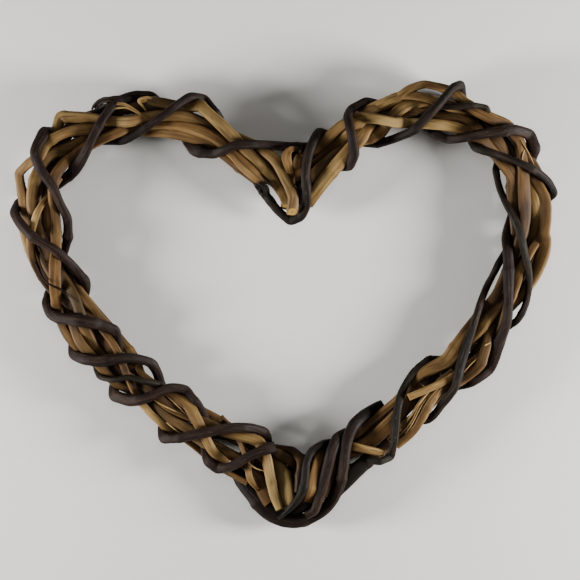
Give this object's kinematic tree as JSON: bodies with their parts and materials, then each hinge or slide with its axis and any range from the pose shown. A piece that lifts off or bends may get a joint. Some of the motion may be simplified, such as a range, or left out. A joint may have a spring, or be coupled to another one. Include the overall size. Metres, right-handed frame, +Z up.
{
  "type": "heart-shaped wicker wreath",
  "caption": "Open heart of buff willow rods laid side by side and bound with dark willow rods wound round them, lying flat.",
  "frame": {"origin": "under the middle of the outline, on the surface that the wreath lies on", "axes": "+Z up out of the face, +Y from the tip towards the cleft, +X to the right as seen from the front"},
  "size_m": [0.3006, 0.2462, 0.0284],
  "materials": {
    "buff_willow": "stripped willow, satin, golden tan",
    "dark_willow": "willow in its bark, satin, near-black brown"
  },
  "bodies": {
    "root": {"dark_rod_over_cleft": "dark_willow", "dark_rod_round_cleft": "dark_willow", "dark_rod_left": "dark_willow", "dark_rod_right_thin": "dark_willow", "dark_rod_left_thin": "dark_willow", "dark_rod_tip_front": "dark_willow", "dark_rod_tip_middle": "dark_willow", "dark_rod_tip_inner": "dark_willow", "dark_rod_tip_lower": "dark_willow", "dark_rod_tip_outer": "dark_willow", "dark_rod_tip_back_left": "dark_willow", "dark_rod_tip_back_middle": "dark_willow", "dark_rod_tip_back_right": "dark_willow", "buff_rod_left_1": "buff_willow", "buff_rod_left_2": "buff_willow", "buff_rod_left_3": "buff_willow", "buff_rod_left_4": "buff_willow", "buff_rod_left_5": "buff_willow", "buff_rod_left_6": "buff_willow", "buff_rod_left_7": "buff_willow", "buff_rod_left_8": "buff_willow", "buff_rod_left_9": "buff_willow", "buff_rod_left_10": "buff_willow", "buff_rod_right_1": "buff_willow", "buff_rod_right_2": "buff_willow", "buff_rod_right_3": "buff_willow", "buff_rod_right_4": "buff_willow", "buff_rod_right_5": "buff_willow", "buff_rod_right_6": "buff_willow", "buff_rod_right_7": "buff_willow", "buff_rod_right_8": "buff_willow", "buff_rod_right_9": "buff_willow", "buff_rod_right_10": "buff_willow", "buff_rod_right_11": "buff_willow", "buff_rod_right_12": "buff_willow", "cleft_strap": "buff_willow", "dark_rod_cleft_inner": "dark_willow"}
  },
  "joints": []
}
